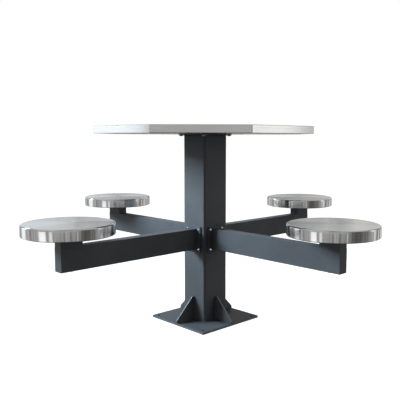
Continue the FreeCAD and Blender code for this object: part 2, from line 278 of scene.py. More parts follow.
def makeSpunStainless():
    sockets = {"Metallic": 1.0, "Anisotropic": spun["anisotropy"], "Anisotropic_Rotation": grainTurn}
    material, tree, shader = startMaterial("spunStainless", **sockets)
    part = axesOf(tree, grainPlace(tree))  # x goes once round, y is metres along the profile
    turn = calc(tree, "MULTIPLY", part[0], fullTurn)
    across = calc(tree, "DIVIDE", part[1], spun["ringWidth"])
    rings = lapNoise(tree, turn, spun["ringLap"] / spun["ringLength"], across, detail=3.0)
    ripple = lapNoise(tree, turn, spun["rippleCount"] / fullTurn, part[1], detail=2.0)
    marks = marksOf(tree, spun["patch"])
    tone = calc(tree, "MULTIPLY_ADD", marks, spun["patchTone"], spread(tree, rings, 0.0, spun["ringTone"]))
    least = spun["roughness"] - spun["unevenness"] / 2
    rough = spread(tree, rings, least, least + spun["unevenness"])
    rough = calc(tree, "MULTIPLY_ADD", marks, spun["patchRoughness"], rough)
    coverWith(tree, shader, mixColour(tree, tone, spun["dark"], spun["pale"]), rough)
    bumpFrom(tree, shader, ripple, spun["rippleStrength"], spun["rippleDepth"])
    return material


# folded stainless of the tabletop, grained along each edge and along the top
folded = {"dark": (0.66, 0.66, 0.655, 1), "pale": (0.72, 0.72, 0.715, 1), "anisotropy": 0.9,
          "darkRoughness": 0.25, "paleRoughness": 0.16, "scratchLength": 60 * mm, "scratchWidth": 0.7 * mm,
          "bumpDepth": 0.02 * mm, "bumpStrength": 0.25, "patch": 160 * mm, "patchRoughness": 0.05}


def makeFoldedStainless():
    sockets = {"Metallic": 1.0, "Anisotropic": folded["anisotropy"], "Anisotropic_Rotation": grainTurn}
    material, tree, shader = startMaterial("foldedStainless", **sockets)
    inputs = {"Scratch_Length": folded["scratchLength"], "Scratch_Width": folded["scratchWidth"]}
    grain = useGroup(tree, brushGrain, Vector=grainPlace(tree), **inputs)
    rough = span(tree, grain["Streak"], 0.0, 1.0, folded["darkRoughness"], folded["paleRoughness"])
    rough = calc(tree, "MULTIPLY_ADD", marksOf(tree, folded["patch"]), folded["patchRoughness"], rough)
    coverWith(tree, shader, mixColour(tree, grain["Streak"], folded["dark"], folded["pale"]), rough)
    bumpFrom(tree, shader, grain["Height"], folded["bumpStrength"], folded["bumpDepth"])
    tangent = place(tree, "ShaderNodeTangent", direction_type="UV_MAP", uv_map="grain")
    tree.links.new(tangent.outputs[0], shader.inputs["Tangent"])
    return material


# plain metals, board and plastics of the small and hidden pieces
turned = {"scratchRatio": 8, "streakShare": 0.6, "patchShare": 0.4, "patch": 20 * mm, "rougher": 0.07,
          "smoother": 0.05, "bumpDepth": 0.01 * mm, "bumpStrength": 0.3}


def makeTurnedSteel(name, dark, pale, roughness, grainWidth):
    material, tree, shader = startMaterial(name, Metallic=1.0)
    inputs = {"Scratch_Length": grainWidth * turned["scratchRatio"], "Scratch_Width": grainWidth}
    grain = useGroup(tree, brushGrain, Vector=objectPlace(tree), **inputs)
    marks = marksOf(tree, turned["patch"])
    tone = weigh(tree, grain["Streak"], turned["streakShare"], marks, turned["patchShare"])
    rough = span(tree, tone, 0.0, 1.0, roughness + turned["rougher"], roughness - turned["smoother"])
    coverWith(tree, shader, mixColour(tree, tone, dark, pale), rough)
    bumpFrom(tree, shader, grain["Height"], turned["bumpStrength"], turned["bumpDepth"])
    return material


zinc = {"dark": (0.58, 0.59, 0.6, 1), "pale": (0.76, 0.77, 0.78, 1), "flakesPerMetre": 130.0,
        "flakeShare": 0.6, "patchShare": 0.4, "patch": 90 * mm, "darkRoughness": 0.5, "paleRoughness": 0.38,
        "bumpDepth": 0.02 * mm, "bumpStrength": 0.2}


def makeGalvanised():  # dull zinc with its flaky spangle
    material, tree, shader = startMaterial("galvanisedSheet", Metallic=1.0)
    inputs = {"Vector": objectPlace(tree), "Scale": zinc["flakesPerMetre"], "Randomness": 1.0}
    flakes = place(tree, "ShaderNodeTexVoronoi", inputs)
    flakeTone = place(tree, "ShaderNodeSeparateColor", {0: flakes.outputs["Color"]}).outputs[0]
    tone = weigh(tree, flakeTone, zinc["flakeShare"], marksOf(tree, zinc["patch"]), zinc["patchShare"])
    rough = span(tree, tone, 0.0, 1.0, zinc["darkRoughness"], zinc["paleRoughness"])
    coverWith(tree, shader, mixColour(tree, tone, zinc["dark"], zinc["pale"]), rough)
    bumpFrom(tree, shader, flakeTone, zinc["bumpStrength"], zinc["bumpDepth"])
    return material


board = {"dark": (0.38, 0.25, 0.14, 1), "pale": (0.66, 0.5, 0.33, 1), "gloss": 0.3, "scratchLength": 90 * mm,
         "scratchWidth": 1.6 * mm, "streakShare": 0.7, "plyShare": 0.3, "plyWaves": 2200.0,
         "darkRoughness": 0.7, "paleRoughness": 0.55, "bumpDepth": 0.05 * mm, "bumpStrength": 0.4}


def makePlywood():
    material, tree, shader = startMaterial("plywood", Metallic=0.0, Specular_IOR_Level=board["gloss"])
    where = objectPlace(tree)
    inputs = {"Scratch_Length": board["scratchLength"], "Scratch_Width": board["scratchWidth"]}
    grain = useGroup(tree, brushGrain, Vector=where, **inputs)
    plies = calc(tree, "SINE", calc(tree, "MULTIPLY", axesOf(tree, where)[2], board["plyWaves"]))
    plyTone = span(tree, plies, -1.0, 1.0, 0.0, board["plyShare"])
    tone = calc(tree, "MULTIPLY_ADD", grain["Streak"], board["streakShare"], plyTone)
    rough = span(tree, tone, 0.0, 1.0, board["darkRoughness"], board["paleRoughness"])
    coverWith(tree, shader, mixColour(tree, tone, board["dark"], board["pale"]), rough)
    bumpFrom(tree, shader, grain["Height"], board["bumpStrength"], board["bumpDepth"])
    return material


plastic = {"gloss": 0.45, "bumpSize": 0.5 * mm, "bumpDepth": 0.02 * mm, "bumpStrength": 0.3,
           "coatRoughness": 0.48}  # about the grain's own roughness


def makePlastic(name, colour, roughness):
    material, tree, shader = startMaterial(name, Metallic=0.0, Specular_IOR_Level=plastic["gloss"])
    grain = useGroup(tree, coatGrain, Vector=objectPlace(tree), Colour=colour, Bump_Size=plastic["bumpSize"])
    rough = calc(tree, "ADD", grain["Roughness"], roughness - plastic["coatRoughness"])
    coverWith(tree, shader, grain["Colour"], rough)
    bumpFrom(tree, shader, grain["Height"], plastic["bumpStrength"], plastic["bumpDepth"])
    return material


powderCoat = makePowderCoat("powderCoat")
spunStainless = makeSpunStainless()
foldedStainless = makeFoldedStainless()
# paler than stainless really is: the bolts' bright finish plus a painted highlight on their heads
fastenerSteel = makeTurnedSteel("fastenerStainless", dark=(0.9, 0.92, 0.95, 1), pale=(0.97, 0.98, 1.0, 1),
                                roughness=0.22, grainWidth=0.4 * mm)
# a darker copy of the stainless: painted shade for the bolts in the shade under the tabletop
paintedShadeBoltSteel = makeTurnedSteel("paintedShadeStainless", dark=(0.3, 0.305, 0.31, 1), pale=(0.45, 0.455, 0.46, 1),
                              roughness=0.4, grainWidth=0.4 * mm)
zincSteel = makeTurnedSteel("zincSteel", dark=(0.58, 0.59, 0.58, 1), pale=(0.76, 0.76, 0.74, 1),
                            roughness=0.3, grainWidth=0.5 * mm)
finishOf = {"powder_coat": powderCoat, "stainless": fastenerSteel, "bright_steel": zincSteel,
            "galvanised_sheet": makeGalvanised(), "plywood": makePlywood(),
            "bush_plastic": makePlastic("bushPlastic", colour=(0.07, 0.07, 0.072, 1), roughness=0.5),
            "plug_plastic": makePlastic("plugPlastic", colour=(0.03, 0.03, 0.032, 1), roughness=0.55)}


def dressNode(nodeName, material):
    for materialSlot in frame["nodes"][nodeName].material_slots:
        materialSlot.material = material


for part in frame["record"]["subparts"]:
    dressNode(part["node"], finishOf[part["material_slot"]])
# plate sides and sloping gusset faces get the pale edge paint, partly a painted highlight
dressNode("base_plate", makePowderCoat("powderCoatPlate", plateEdge))
gussetCoat = makePowderCoat("powderCoatGusset", gussetEdge)
for side in sides:
    dressNode("gusset_" + side, gussetCoat)
print("finishes made:", len(bpy.data.materials))


# piece helpers
geometryOut = (("Geometry", "geometry", None),)


def addPiece(name, mesh, material, body, slotName, *nodes):
    mesh.name = name
    mesh.materials.clear()
    mesh.materials.append(material)
    piece = bpy.data.objects.new(name, mesh)
    scene.collection.objects.link(piece)
    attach(piece, body)
    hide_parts(*nodes)
    return piece


def dressTree(tree, geometry, given, result):  # the last nodes of every Geometry Nodes tree
    real = place(tree, "GeometryNodeRealizeInstances", {0: geometry})
    inputs = {"Geometry": real.outputs[0], "Material": given["Material"]}
    feed(tree, result["Geometry"], place(tree, "GeometryNodeSetMaterial", inputs).outputs[0])


def grow(tree, start, name, settings):  # runs a Geometry Nodes tree on a start mesh, gives back a plain mesh
    carrier = bpy.data.objects.new(name, start)
    scene.collection.objects.link(carrier)
    modifier = carrier.modifiers.new(name, "NODES")
    modifier.node_group = tree
    for socket in tree.interface.items_tree:
        if socket.in_out == "INPUT" and socket.name in settings:
            modifier[socket.identifier] = settings[socket.name]
    made = bpy.data.meshes.new_from_object(carrier.evaluated_get(bpy.context.evaluated_depsgraph_get()))
    carrier.modifiers.remove(modifier)
    bpy.data.objects.remove(carrier)
    return made


def chainMesh(name, chains):  # chains are (points, closed)
    points, edges = [], []
    for chain, closed in chains:
        first = len(points)
        points += [tuple(point) for point in chain]
        edges += [(first + i, first + i + 1) for i in range(len(chain) - 1)]
        if closed:
            edges.append((len(points) - 1, first))
    mesh = bpy.data.meshes.new(name)
    mesh.from_pydata(points, edges, [])
    return mesh


def arc(centreX, centreY, radius, fromAngle, toAngle, steps):
    turns = [fromAngle + (toAngle - fromAngle) * i / steps for i in range(steps + 1)]
    return [(centreX + radius * cos(turn), centreY + radius * sin(turn)) for turn in turns]


def shadeBySharpness(mesh, limit):  # edges that turn by more than the limit, in degrees, stay sharp
    mesh.shade_smooth()
    mesh.set_sharp_from_angle(angle=radians(limit))


# seats: one sheet profile spun about the swivel axis
seat = {"sheet": 1.5 * mm, "crown": 1.5 * mm, "topRadius": 7 * mm, "bottomRadius": 3 * mm, "lip": 16 * mm,
        "roundSteps": 160, "domeSteps": 14, "bendSteps": 8, "pathRadius": 0.1, "merge": 0.01 * mm,
        "sharpAngle": 50}


def makeSpinTree():
    inputs = (("Geometry", "geometry", None), ("Segments", "count", seat["roundSteps"]),
              ("Path Radius", "number", seat["pathRadius"]), ("Axis", "vector", None),
              ("Material", "material", None))
    tree, given, result = startGroup("spunShell", "GeometryNodeTree", inputs, geometryOut)
    profile = place(tree, "GeometryNodeMeshToCurve", {0: given["Geometry"]})
    inputs = {"Resolution": given["Segments"], "Radius": given["Path Radius"]}
    lap = place(tree, "GeometryNodeCurvePrimitiveCircle", inputs)
    inputs = {"Curve": lap.outputs[0], "Profile Curve": profile.outputs[0]}
    shell = place(tree, "GeometryNodeCurveToMesh", inputs)
    inputs = {"Geometry": shell.outputs[0], "Distance": seat["merge"]}
    closed = place(tree, "GeometryNodeMergeByDistance", inputs)
    placed = place(tree, "GeometryNodeSetPosition", {"Geometry": closed.outputs[0], "Offset": given["Axis"]})
    dressTree(tree, placed.outputs[0], given, result)
    return tree


def seatProfile(radius, low, high):  # (distance from the axis, height), from the top's middle to its inside
    sheet, rim = seat["sheet"], high - seat["crown"]
    top, bottom = seat["topRadius"], seat["bottomRadius"]
    steps, bends = seat["domeSteps"], seat["bendSteps"]
    flat, lipEnd = radius - top, radius - seat["lip"]
    dome = [(flat * i / steps, high - seat["crown"] * (i / steps) ** 2) for i in range(steps)]
    outer = dome + arc(flat, rim - top, top, pi / 2, 0, bends)
    outer += arc(radius - bottom, low + bottom, bottom, 0, -pi / 2, bends) + [(lipEnd, low)]
    inner = [(lipEnd, low + sheet)] + arc(radius - bottom, low + bottom, bottom - sheet, -pi / 2, 0, bends)
    inner += arc(flat, rim - top, top - sheet, 0, pi / 2, bends)
    return outer + inner + [(x, z - sheet) for x, z in reversed(dome)]


def wrapGrain(mesh, axis, profile):  # x of the UV goes round the axis, y runs along the profile
    reached = [0.0]
    for (x0, z0), (x1, z1) in zip(profile, profile[1:]):
        reached.append(reached[-1] + hypot(x1 - x0, z1 - z0))
    layer = mesh.uv_layers.new(name="grain")
    for face in mesh.polygons:
        middle = atan2(face.center.y - axis.y, face.center.x - axis.x)
        for loop in face.loop_indices:
            point = mesh.vertices[mesh.loops[loop].vertex_index].co
            away = hypot(point.x - axis.x, point.y - axis.y)
            turn = atan2(point.y - axis.y, point.x - axis.x) if away > mm else middle
            turn += fullTurn * round((middle - turn) / fullTurn)
            gaps = [hypot(x - away, z - point.z) for x, z in profile]
            layer.data[loop].uv = (turn / fullTurn, reached[gaps.index(min(gaps))])


spinTree = makeSpinTree()
for side in sides:
    low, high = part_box("seat_pan_" + side)
    axis = Vector(((low.x + high.x) / 2, (low.y + high.y) / 2, 0))
    profile = seatProfile((high.x - low.x) / 2, low.z, high.z)
    start = chainMesh("seatProfile", [([(x - seat["pathRadius"], -z, 0) for x, z in profile], False)])
    settings = {"Segments": seat["roundSteps"], "Path Radius": seat["pathRadius"], "Axis": axis,
                "Material": spunStainless}
    shell = grow(spinTree, start, "seatShell", settings)
    wrapGrain(shell, axis, profile)
    shadeBySharpness(shell, seat["sharpAngle"])
    addPiece("seatShell_" + side, shell, spunStainless, side + "_seat", "stainless", "seat_pan_" + side)
print("seats spun:", len(sides), "with", len(shell.polygons), "faces each")


# tabletop: an eight-sided pan folded from sheet, with a return lip below
tabletop = {"sides": 8, "sheet": 1.5 * mm, "bend": 2.5 * mm, "corner": 4 * mm, "leastCorner": 0.4 * mm,
            "lip": 18 * mm, "cornerSteps": 6, "bendSteps": 5, "sharpAngle": 35, "evenWeight": 100}
eighth = fullTurn / tabletop["sides"]


def tabletopRing(bm, reach, height, inset):  # one lap of the pan at a distance in from its faces
    corner = max(tabletop["corner"] - inset, tabletop["leastCorner"])
    away = (reach - inset - corner) / cos(eighth / 2)
    ring = []
    for i in range(tabletop["sides"]):
        x, y = away * cos(eighth * (i + 0.5)), away * sin(eighth * (i + 0.5))
        bend = arc(x, y, corner, eighth * i, eighth * (i + 1), tabletop["cornerSteps"])
        ring += [bm.verts.new((x, y, height)) for x, y in bend]
    return ring


def layGrain(bm):  # the grain runs along x on the flat top, and along each edge elsewhere
    layer = bm.loops.layers.uv.new("grain")
    for face in bm.faces:
        middle = face.calc_center_median()
        flat = len(face.verts) > 4  # only the top and its inside have more than four corners
        facing = eighth * round(atan2(middle.y, middle.x) / eighth)
        along = Vector((-sin(facing), cos(facing), 0))
        away = Vector((cos(facing), sin(facing), 0))
        for loop in face.loops:
            point = loop.vert.co
            onEdge = (point.dot(along) + facing, point.z - point.dot(away))
            loop[layer].uv = (point.x, point.y) if flat else onEdge


def makeTabletop():
    low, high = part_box("tabletop_skin")
    sheet, bend, lip, steps = tabletop["sheet"], tabletop["bend"], tabletop["lip"], tabletop["bendSteps"]
    fold = arc(bend, high.z - bend, bend, pi / 2, pi, steps)  # x is the inset, y the height
    fold += arc(bend, low.z + bend, bend, pi, 1.5 * pi, steps)
    fold += [(lip, low.z), (lip, low.z + sheet)]
    fold += arc(bend, low.z + bend, bend - sheet, 1.5 * pi, pi, steps)
    fold += arc(bend, high.z - bend, bend - sheet, pi, pi / 2, steps)
    bm = bmesh.new()
    rings = [tabletopRing(bm, high.x, height, inset) for inset, height in fold]
    bm.faces.new(rings[0])
    bm.faces.new(reversed(rings[-1]))
    for upper, lower in zip(rings, rings[1:]):
        for i in range(len(upper)):
            j = (i + 1) % len(upper)
            bm.faces.new((upper[i], lower[i], lower[j], upper[j]))
    layGrain(bm)
    mesh = bpy.data.meshes.new("tabletopPan")
    bm.to_mesh(mesh)
    bm.free()
    shadeBySharpness(mesh, tabletop["sharpAngle"])
    piece = addPiece("tabletopPan", mesh, foldedStainless, "frame", "stainless", "tabletop_skin")
    even = piece.modifiers.new("evenShading", "WEIGHTED_NORMAL")
    even.keep_sharp = True
    even.weight = tabletop["evenWeight"]


makeTabletop()
print("tabletop folded")


# bolts: round heads with a hexagon socket on the arms, hexagon heads on flat washers under the tabletop
armBolt = {"Head Radius": 5.25 * mm, "Head Height": 3.3 * mm, "Socket Across": 4 * mm, "Socket Depth": 2 * mm,
           "Shank Radius": 2.9 * mm, "Shank Length": 16 * mm}
topBolt = {"Across Flats": 10 * mm, "Head Height": 4 * mm, "Washer Radius": 6 * mm, "Washer Depth": 1.6 * mm,
           "Shank Radius": 2.9 * mm, "Shank Length": 20 * mm}
boltPlace = {"armSpread": 31 * mm, "armRise": 38.5 * mm, "topSpread": 66 * mm, "seed": 7}
boltMesh = {"roundCorners": 40, "ballRings": 24, "coneCorners": 36, "shankCorners": 20, "shankRise": 0.5 * mm,
            "bluntShare": 0.475, "sharpAngle": 35}


def cylinder(tree, corners, radius, depth):
    inputs = {"Vertices": corners, "Radius": radius, "Depth": depth}
    return place(tree, "GeometryNodeMeshCylinder", inputs).outputs[0]


def lift(tree, geometry, height):
    inputs = {"Geometry": geometry, "Translation": vectorOf(tree, z=height)}
    return place(tree, "GeometryNodeTransform", inputs).outputs[0]


def hexagon(tree, acrossFlats, depth):
    return cylinder(tree, 6, calc(tree, "DIVIDE", acrossFlats, 2 * cos(pi / 6)), depth)


def overlap(tree, *meshes):
    cut = place(tree, "GeometryNodeMeshBoolean", operation="INTERSECT")
    for mesh in meshes:
        tree.links.new(mesh, cut.inputs["Mesh 2"])
    return cut.outputs[0]


def roundHead(tree, given):  # a low dome, with the socket cut from its top
    tall, wide = given["Head Height"], given["Head Radius"]
    square = calc(tree, "MULTIPLY_ADD", wide, wide, calc(tree, "MULTIPLY", tall, tall))
    domeRadius = calc(tree, "DIVIDE", square, calc(tree, "MULTIPLY", tall, 2.0))
    inputs = {"Segments": boltMesh["roundCorners"], "Rings": boltMesh["ballRings"], "Radius": domeRadius}
    ball = place(tree, "GeometryNodeMeshUVSphere", inputs).outputs[0]
    ball = lift(tree, ball, calc(tree, "SUBTRACT", tall, domeRadius))
    slab = cylinder(tree, boltMesh["roundCorners"], calc(tree, "MULTIPLY", wide, 2.0), tall)
    dome = overlap(tree, ball, lift(tree, slab, calc(tree, "DIVIDE", tall, 2.0)))
    key = hexagon(tree, given["Socket Across"], calc(tree, "MULTIPLY", given["Socket Depth"], 2.0))
    hollow = place(tree, "GeometryNodeMeshBoolean", {"Mesh 1": dome}, operation="DIFFERENCE")
    tree.links.new(lift(tree, key, tall), hollow.inputs["Mesh 2"])
    return [hollow.outputs[0]]


def hexHead(tree, given):  # its top is turned to a cone of 30 degrees
    tall, washerDepth = given["Head Height"], given["Washer Depth"]
    blunt = calc(tree, "MULTIPLY", given["Across Flats"], boltMesh["bluntShare"])
    wide = calc(tree, "MULTIPLY_ADD", tall, sqrt(3), blunt)
    inputs = {"Vertices": boltMesh["coneCorners"], "Radius Top": blunt, "Radius Bottom": wide, "Depth": tall}
    cone = place(tree, "GeometryNodeMeshCone", inputs).outputs[0]
    cone = lift(tree, cone, calc(tree, "MULTIPLY", tall, -0.5))
    head = overlap(tree, hexagon(tree, given["Across Flats"], tall), cone)
    washer = cylinder(tree, boltMesh["roundCorners"], given["Washer Radius"], washerDepth)
    return [lift(tree, head, calc(tree, "MULTIPLY_ADD", tall, 0.5, washerDepth)),
            lift(tree, washer, calc(tree, "DIVIDE", washerDepth, 2.0))]


def makeBoltTree(name, sizes, makeHead):  # a bolt on every point, turned to the point's own facing
    inputs = [("Geometry", "geometry", None)] + [(label, "number", size) for label, size in sizes.items()]
    inputs += [("Seed", "count", boltPlace["seed"]), ("Material", "material", None)]
    tree, given, result = startGroup(name, "GeometryNodeTree", inputs, geometryOut)
    shank = cylinder(tree, boltMesh["shankCorners"], given["Shank Radius"], given["Shank Length"])
    shankMiddle = calc(tree, "MULTIPLY_ADD", given["Shank Length"], -0.5, boltMesh["shankRise"])
    whole = place(tree, "GeometryNodeJoinGeometry")
    for piece in makeHead(tree, given) + [lift(tree, shank, shankMiddle)]:
        tree.links.new(piece, whole.inputs[0])
    facing = place(tree, "GeometryNodeInputNamedAttribute", {"Name": "facing"}, data_type="FLOAT_VECTOR")
    align = place(tree, "FunctionNodeAlignRotationToVector", {"Vector": facing.outputs[0]}, axis="Z")
    inputs = {"Max": pi / 3, "Seed": given["Seed"]}  # a hexagon repeats after a sixth of a turn
    spin = place(tree, "FunctionNodeRandomValue", inputs, data_type="FLOAT")
    turn = place(tree, "FunctionNodeEulerToRotation", {0: vectorOf(tree, z=spin.outputs[1])})
    inputs = {0: align.outputs[0], 1: turn.outputs[0]}
    tilt = place(tree, "FunctionNodeRotateRotation", inputs, rotation_space="LOCAL")
    spots = place(tree, "GeometryNodeMeshToPoints", {0: given["Geometry"]})
    inputs = {"Points": spots.outputs[0], "Instance": whole.outputs[0], "Rotation": tilt.outputs[0]}
    dressTree(tree, place(tree, "GeometryNodeInstanceOnPoints", inputs).outputs[0], given, result)
    return tree


def boltSpots(name, spots):  # spots are (place, way that the head faces)
    mesh = bpy.data.meshes.new(name)
    mesh.from_pydata([tuple(spot) for spot, facing in spots], [], [])
    layer = mesh.attributes.new("facing", "FLOAT_VECTOR", "POINT")
    for entry, (spot, facing) in zip(layer.data, spots):
        entry.vector = facing
    return mesh


def addBolts(name, tree, sizes, spots, steel, *nodes):
    settings = {**sizes, "Seed": boltPlace["seed"], "Material": steel}
    mesh = grow(tree, boltSpots(name + "Spots", spots), name, settings)
    shadeBySharpness(mesh, boltMesh["sharpAngle"])
    addPiece(name, mesh, steel, "frame", "stainless", *nodes)


def extent(low, high, way):  # how near and how far a box reaches along a way out from the column
    return sorted((abs(low.dot(way)), abs(high.dot(way))))


def spotOn(way, reach, aside, height):  # out along an arm's way, aside to its left, and up
    return way * reach + Vector((-way.y, way.x, 0)) * aside + Vector((0, 0, height))


armSpots = []
for side in sides:
    way = outward[side]
    low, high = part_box("arm_flange_" + side)
    face = extent(low, high, way)[1]
    middle = (low.z + high.z) / 2
    for aside in (-boltPlace["armSpread"], boltPlace["armSpread"]):
        for up in (-boltPlace["armRise"], boltPlace["armRise"]):
            armSpots.append((spotOn(way, face, aside, middle + up), way))
armBoltTree = makeBoltTree("armBoltSet", armBolt, roundHead)
addBolts("armBolts", armBoltTree, armBolt, armSpots, fastenerSteel, "arm_bolts")
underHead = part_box("head_plate")[0].z
topSpots = []
for x in (-boltPlace["topSpread"], boltPlace["topSpread"]):
    for y in (-boltPlace["topSpread"], boltPlace["topSpread"]):
        topSpots.append((Vector((x, y, underHead)), Vector((0, 0, -1))))
topBoltTree = makeBoltTree("topBoltSet", topBolt, hexHead)
# the tabletop bolts take the darker stainless, which is painted shade
addBolts("tabletopBolts", topBoltTree, topBolt, topSpots, paintedShadeBoltSteel, "tabletop_bolts", "tabletop_washers")
print("bolts set:", len(armSpots) + len(topSpots))


# weld beads: a rippled bead drawn along each welded corner, under the paint
weld = {"columnBead": 3.2 * mm, "gussetBead": 1.8 * mm, "armBead": 2.2 * mm, "riserBead": 1.5 * mm,
        "pitch": 2.4 * mm, "ripple": 0.12, "step": 0.6 * mm, "wander": (0.9, 1.1), "wandersPerMetre": 120.0,
        "seed": 3.0, "sectionCorners": 10, "columnCorner": 7.5 * mm, "armCorner": 2 * mm, "cornerSteps": 5,
        "tuckShare": 0.6, "sharpAngle": 70}


def makeWeldTree():
    inputs = (("Geometry", "geometry", None), ("Bead Radius", "number", weld["columnBead"]),
              ("Ripple Pitch", "number", weld["pitch"]), ("Ripple", "number", weld["ripple"]),
              ("Step", "number", weld["step"]), ("Seed", "number", weld["seed"]),
              ("Material", "material", None))
    tree, given, result = startGroup("weldBead", "GeometryNodeTree", inputs, geometryOut)
    path = place(tree, "GeometryNodeMeshToCurve", {0: given["Geometry"]})
    inputs = {"Curve": path.outputs[0], "Length": given["Step"]}
    fine = place(tree, "GeometryNodeResampleCurve", inputs, mode="LENGTH")
    reached = place(tree, "GeometryNodeSplineParameter").outputs["Length"]
    turn = calc(tree, "DIVIDE", calc(tree, "MULTIPLY", reached, fullTurn), given["Ripple Pitch"])
    ripple = calc(tree, "MULTIPLY_ADD", calc(tree, "SINE", turn), given["Ripple"], 1.0)
    where = place(tree, "GeometryNodeInputPosition").outputs[0]
    shifted = place(tree, "ShaderNodeVectorMath", {0: where, 1: given["Seed"]}, operation="ADD").outputs[0]
    wander = spread(tree, noise(tree, shifted, weld["wandersPerMetre"], detail=1.0), *weld["wander"])
    inputs = {"Resolution": weld["sectionCorners"], "Radius": given["Bead Radius"]}
    section = place(tree, "GeometryNodeCurvePrimitiveCircle", inputs)
    inputs = {"Curve": fine.outputs[0], "Profile Curve": section.outputs[0],
              "Scale": calc(tree, "MULTIPLY", wander, ripple), "Fill Caps": True}
    dressTree(tree, place(tree, "GeometryNodeCurveToMesh", inputs).outputs[0], given, result)
    return tree


def roundedLoop(halfWidth, halfDepth, corner):  # a lap round a square or oblong tube, in its own plane
    steps = weld["cornerSteps"]
    x, y = halfWidth - corner, halfDepth - corner
    corners = ((x, y, 0), (-x, y, pi / 2), (-x, -y, pi), (x, -y, 1.5 * pi))
    return [point for cx, cy, turn in corners for point in arc(cx, cy, corner, turn, turn + pi / 2, steps)]


def addWeld(name, chains, radius):
    settings = {"Bead Radius": radius, "Ripple Pitch": weld["pitch"], "Ripple": weld["ripple"],
                "Step": weld["step"], "Seed": weld["seed"], "Material": powderCoat}
    mesh = grow(weldTree, chainMesh(name, chains), name, settings)
    shadeBySharpness(mesh, weld["sharpAngle"])
    addPiece(name, mesh, powderCoat, "frame", "powder_coat")


weldTree = makeWeldTree()
columnLow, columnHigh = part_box("column")
columnLap = roundedLoop(columnHigh.x, columnHigh.y, weld["columnCorner"])
columnChains = [([(x, y, z) for x, y in columnLap], True) for z in (columnLow.z, columnHigh.z)]
gussetChains, armChains, riserChains = [], [], []
for side in sides:
    way = outward[side]
    across = Vector((-way.y, way.x, 0))
    low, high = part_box("gusset_" + side)
    inner, outer = extent(low, high, way)
    half = extent(low, high, across)[1]
    for aside in (-half, half):
        foot = [spotOn(way, reach, aside, low.z) for reach in (inner, outer)]
        back = [spotOn(way, inner, aside, z) for z in (low.z, high.z)]
        gussetChains += [(foot, False), (back, False)]
    low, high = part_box("arm_tube_" + side)
    inner, half = extent(low, high, way)[0], extent(low, high, across)[1]
    middle = (low.z + high.z) / 2
    lap = roundedLoop(half, (high.z - low.z) / 2, weld["armCorner"])
    armChains.append(([spotOn(way, inner, x, middle + y) for x, y in lap], True))
    low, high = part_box("seat_riser_" + side)
    inner, outer = extent(low, high, way)
    tuck = weld["armCorner"] * weld["tuckShare"]  # the seams lie in the tube's rounded corners
    for aside in (tuck - half, half - tuck):
        seam = [spotOn(way, reach, aside, low.z - tuck) for reach in (inner, outer - tuck)]
        riserChains.append((seam, False))
    end = [spotOn(way, inner, aside, low.z) for aside in (tuck - half, half - tuck)]
    riserChains.append((end, False))
addWeld("columnWelds", columnChains, weld["columnBead"])
addWeld("gussetWelds", gussetChains, weld["gussetBead"])
addWeld("armWelds", armChains, weld["armBead"])
addWeld("riserWelds", riserChains, weld["riserBead"])
print("welds drawn:", len(columnChains) + len(gussetChains) + len(armChains) + len(riserChains))


# photograph's viewpoint, with turns in degrees, and focal length, frame and optical axis in pixels
camera = {"azimuth": 46.991, "distance": 2.246725, "height": 0.716221, "heading": 45.591, "pitch": 5.554,
          "roll": 0.131, "focal": 573.539, "frame": 400, "axisRight": 19.113, "axisUp": 6.206, "sensor": 36,
          "nearest": 0.05}


def makeCamera():
    data = bpy.data.cameras.new("camera")
    data.sensor_width = camera["sensor"]
    data.lens = camera["focal"] / camera["frame"] * camera["sensor"]
    data.shift_x = -camera["axisRight"] / camera["frame"]
    data.shift_y = -camera["axisUp"] / camera["frame"]
    data.clip_start = camera["nearest"]
    eye = bpy.data.objects.new("camera", data)
    around = radians(camera["azimuth"])
    eye.location = (camera["distance"] * sin(around), -camera["distance"] * cos(around), camera["height"])
    heading = Matrix.Rotation(radians(camera["heading"]), 3, "Z")
    pitch = Matrix.Rotation(radians(90 - camera["pitch"]), 3, "X")
    roll = Matrix.Rotation(radians(camera["roll"]), 3, "Z")
    eye.rotation_euler = (heading @ pitch @ roll).to_euler()
    scene.collection.objects.link(eye)
    scene.camera = eye


makeCamera()


# studio: soft daylight from the left, a round screen for the steel to mirror, pale floor
black, white = (0, 0, 0, 1), (1, 1, 1, 1)


def levelRamp(tree, factor, steps):  # steps are (place from 0 to 1, grey level)
    ramp = place(tree, "ShaderNodeValToRGB", {0: factor})
    stops = ramp.color_ramp.elements
    for i, (position, level) in enumerate(steps):
        stop = stops[i] if i < 2 else stops.new(1.0)  # a new ramp has two stops
        stop.position = position
        stop.color = (level, level, level, 1)
    return ramp.outputs[0]


def compass(tree, axes):  # degrees, 0 at +X and 90 at +Y
    return calc(tree, "MULTIPLY", calc(tree, "ARCTAN2", axes[1], axes[0]), 180 / pi)


def compassRamp(tree, axes, steps):  # steps are (compass degrees, level)
    steps = [((degrees + 180) / 360, level) for degrees, level in steps]
    return levelRamp(tree, span(tree, compass(tree, axes), -180.0, 180.0, 0.0, 1.0), steps)


# sky light is levels (upward part of the way, brightness) times around (compass degrees, share), up to 1
# mirrored is (compass degrees, brightness) of what steel mirrors beyond the screen, over a dark ground
sky = {"levels": ((-1.0, 0.04), (-0.04, 0.05), (0.03, 1.8), (0.18, 1.8), (0.3, 0.12), (1.0, 0.02)),
       "around": ((-180, 0.9), (-120, 1.8), (-85, 1.8), (-60, 0.2), (0, 0.2), (35, 9.0), (100, 9.0),
                  (140, 1.1), (180, 0.9)),
       "mirrored": ((-180, 0.6), (-120, 0.8), (-60, 0.3), (0, 0.5), (60, 0.75), (120, 0.3), (180, 0.6)),
       "tint": (1.0, 0.985, 0.97, 1), "groundFrom": -0.2, "groundTo": -0.3, "groundLevel": 0.1}


